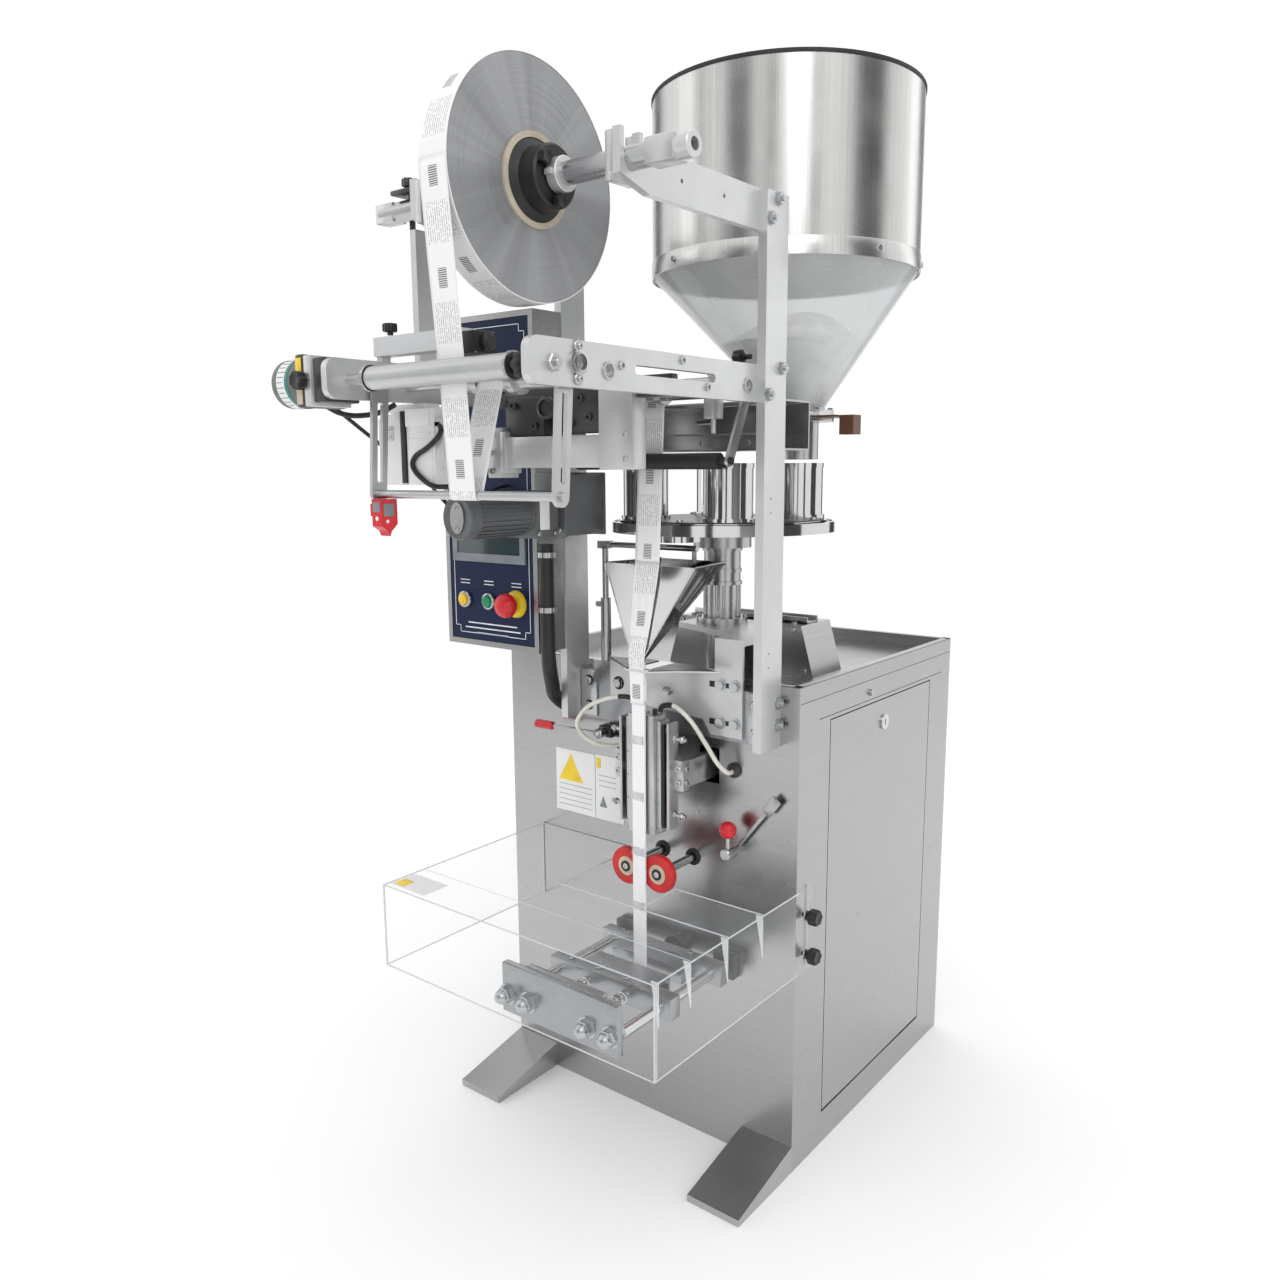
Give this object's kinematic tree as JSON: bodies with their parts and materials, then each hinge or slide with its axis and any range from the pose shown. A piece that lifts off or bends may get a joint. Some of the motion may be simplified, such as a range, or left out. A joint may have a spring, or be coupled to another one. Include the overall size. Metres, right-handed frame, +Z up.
{
  "type": "vertical form fill sealer",
  "caption": "Upright sachet packing machine: cabinet with side door, film roll and rollers, powder hopper over a cup wheel, forming collar, vertical and horizontal sealing jaws.",
  "frame": {"origin": "on the floor, at the middle of the cabinet's bottom face", "axes": "+Z up; +X to the machine's right seen from its front; +Y to its back"},
  "size_m": [0.73, 1.162, 1.804],
  "materials": {
    "stainless_sheet": "satin sheet",
    "inner_steel": "matt",
    "machined_steel": "fine machined",
    "polished_steel": "polished",
    "plated_steel": "plated, satin",
    "white_paint": "semi-gloss",
    "grey_paint": "semi-gloss",
    "navy_panel": "printed panel",
    "screen_frame": "moulded",
    "yellow_plastic": "glossy",
    "green_plastic": "glossy",
    "red_plastic": "glossy",
    "black_plastic": "matt",
    "black_paint": "satin",
    "black_rubber": "matt",
    "red_rubber": "matt",
    "printed_film": "glossy film",
    "film_edges": "wound edges",
    "cardboard": "plain card",
    "clear_plastic": "clear",
    "brown_plastic": "moulded",
    "motor_blue": "enamel"
  },
  "bodies": {
    "machine": {"cabinet_shell": "stainless_sheet", "rear_panel": "stainless_sheet", "wedge_feet": "stainless_sheet", "crossbar": "plated_steel", "rack_posts": "white_paint", "rack_arms": "white_paint", "tie_channel": "stainless_sheet", "frame_bolts": "polished_steel", "control_box": "stainless_sheet", "control_panel": "navy_panel", "touch_screen": "screen_frame", "film_web": "printed_film", "film_tube": "printed_film", "coder": "grey_paint", "sensor_bar": "grey_paint", "gear_motor": "black_paint", "feed_motor": "black_paint", "measuring_table": "polished_steel", "turntable_bracket": "white_paint", "drive_column": "machined_steel", "transmission_cover": "stainless_sheet", "hopper_drum": "polished_steel", "hopper_cone": "clear_plastic", "hopper_outlet": "machined_steel", "forming_collar": "polished_steel", "collar_stand": "machined_steel", "jaw_bushings": "black_plastic", "cables": "black_rubber", "drive_motor": "motor_blue", "inner_frame": "inner_steel"},
    "door": {"side_door": "stainless_sheet"},
    "lock": {"door_lock": "polished_steel"},
    "reel": {"roll_shaft": "plated_steel", "roll_chucks": "black_plastic", "roll_core": "cardboard", "film_roll": "film_edges"},
    "front_idler": {"front_roller": "machined_steel"},
    "rear_idler": {"rear_roller": "machined_steel"},
    "tail_idler": {"tail_roller": "machined_steel"},
    "dancer": {"dancer_arms": "plated_steel", "mark_sensor": "red_plastic", "film_loop": "printed_film"},
    "swing": {"swing_arm": "plated_steel"},
    "presser": {"rubber_roller": "black_rubber"},
    "turntable": {"cup_wheel": "polished_steel"},
    "gate": {"hopper_gate": "brown_plastic"},
    "jaw_left": {"left_jaw": "machined_steel"},
    "jaw_right": {"right_jaw": "machined_steel"},
    "wheel_left": {"left_wheel": "red_rubber"},
    "wheel_right": {"right_wheel": "red_rubber"},
    "jaw_front": {"front_jaw": "plated_steel"},
    "jaw_rear": {"rear_jaw": "plated_steel"},
    "lever": {"ball_lever": "red_plastic"},
    "latch": {"latch_lever": "red_plastic"},
    "cover": {"front_cover": "clear_plastic", "cover_knobs": "black_plastic"},
    "yellow": {"yellow_button": "yellow_plastic"},
    "green": {"green_button": "green_plastic"},
    "stop": {"stop_button": "red_plastic"},
    "cams": {"cam_shaft": "machined_steel"}
  },
  "joints": [
    {"name": "door_hinge", "type": "hinge", "parent": "machine", "child": "door", "pos_m": [0.312, 0.003, 0.068], "axis": [0, 1, 0], "range_deg": [0, 75]},
    {"name": "lock_turn", "type": "hinge", "parent": "door", "child": "lock", "pos_m": [0.318, 0.003, 0.731], "axis": [1, 0, 0], "range_deg": [0, 90]},
    {"name": "reel_spin", "type": "hinge", "parent": "machine", "child": "reel", "pos_m": [0.081, -0.66, 1.566], "axis": [1, 0, 0], "continuous": true},
    {"name": "front_idler_spin", "type": "hinge", "parent": "machine", "child": "front_idler", "pos_m": [0.081, -0.8118, 1.311], "axis": [1, 0, 0], "continuous": true},
    {"name": "rear_idler_spin", "type": "hinge", "parent": "machine", "child": "rear_idler", "pos_m": [0.081, -0.71, 1.308], "axis": [1, 0, 0], "continuous": true},
    {"name": "tail_idler_spin", "type": "hinge", "parent": "machine", "child": "tail_idler", "pos_m": [0.081, -0.39, 1.308], "axis": [1, 0, 0], "continuous": true},
    {"name": "dancer_swing", "type": "hinge", "parent": "machine", "child": "dancer", "pos_m": [0.075, -0.767, 1.314], "axis": [1, 0, 0], "range_deg": [-15, 15]},
    {"name": "swing_lift", "type": "hinge", "parent": "machine", "child": "swing", "pos_m": [0.075, -0.339, 1.312], "axis": [-1, 0, 0], "range_deg": [0, 25]},
    {"name": "presser_spin", "type": "hinge", "parent": "swing", "child": "presser", "pos_m": [0.082, -0.3932, 1.199], "axis": [1, 0, 0], "continuous": true},
    {"name": "turntable_spin", "type": "hinge", "parent": "machine", "child": "turntable", "pos_m": [0.081, -0.17, 1.095], "axis": [0, 0, 1], "continuous": true},
    {"name": "gate_slide", "type": "slide", "parent": "machine", "child": "gate", "axis": [1, 0, 0], "range_m": [0, 0.06]},
    {"name": "right_jaw_close", "type": "slide", "parent": "machine", "child": "jaw_right", "axis": [-1, 0, 0], "range_m": [0, 0.005]},
    {"name": "left_jaw_close", "type": "slide", "parent": "machine", "child": "jaw_left", "axis": [1, 0, 0], "range_m": [0, 0.005]},
    {"name": "right_wheel_spin", "type": "hinge", "parent": "machine", "child": "wheel_right", "pos_m": [0.114, -0.355, 0.519], "axis": [0, 1, 0], "continuous": true},
    {"name": "left_wheel_spin", "type": "hinge", "parent": "machine", "child": "wheel_left", "pos_m": [0.048, -0.355, 0.519], "axis": [0, 1, 0], "continuous": true},
    {"name": "front_jaw_close", "type": "slide", "parent": "machine", "child": "jaw_front", "axis": [0, 1, 0], "range_m": [0, 0.014]},
    {"name": "rear_jaw_close", "type": "slide", "parent": "machine", "child": "jaw_rear", "axis": [0, -1, 0], "range_m": [0, 0.014]},
    {"name": "lever_turn", "type": "hinge", "parent": "machine", "child": "lever", "pos_m": [0.208, -0.325, 0.556], "axis": [0, 1, 0], "range_deg": [0, 45]},
    {"name": "latch_turn", "type": "hinge", "parent": "machine", "child": "latch", "pos_m": [-0.062, -0.325, 0.722], "axis": [0, -1, 0], "range_deg": [0, 20]},
    {"name": "cover_slide", "type": "slide", "parent": "machine", "child": "cover", "axis": [0, -1, 0], "range_m": [0, 0.4]},
    {"name": "yellow_press", "type": "slide", "parent": "machine", "child": "yellow", "axis": [0, 1, 0], "range_m": [0, 0.004], "stiffness_N_per_m": 400},
    {"name": "green_press", "type": "slide", "parent": "machine", "child": "green", "axis": [0, 1, 0], "range_m": [0, 0.004], "stiffness_N_per_m": 400},
    {"name": "stop_press", "type": "slide", "parent": "machine", "child": "stop", "axis": [0, 1, 0], "range_m": [0, 0.005]},
    {"name": "cam_spin", "type": "hinge", "parent": "machine", "child": "cams", "pos_m": [0, -0.055, 0.48], "axis": [1, 0, 0], "continuous": true}
  ],
  "couplings": [
    {"joint": "left_jaw_close", "follows": "right_jaw_close", "ratio": 1},
    {"joint": "left_wheel_spin", "follows": "right_wheel_spin", "ratio": -1},
    {"joint": "rear_jaw_close", "follows": "front_jaw_close", "ratio": 1}
  ]
}
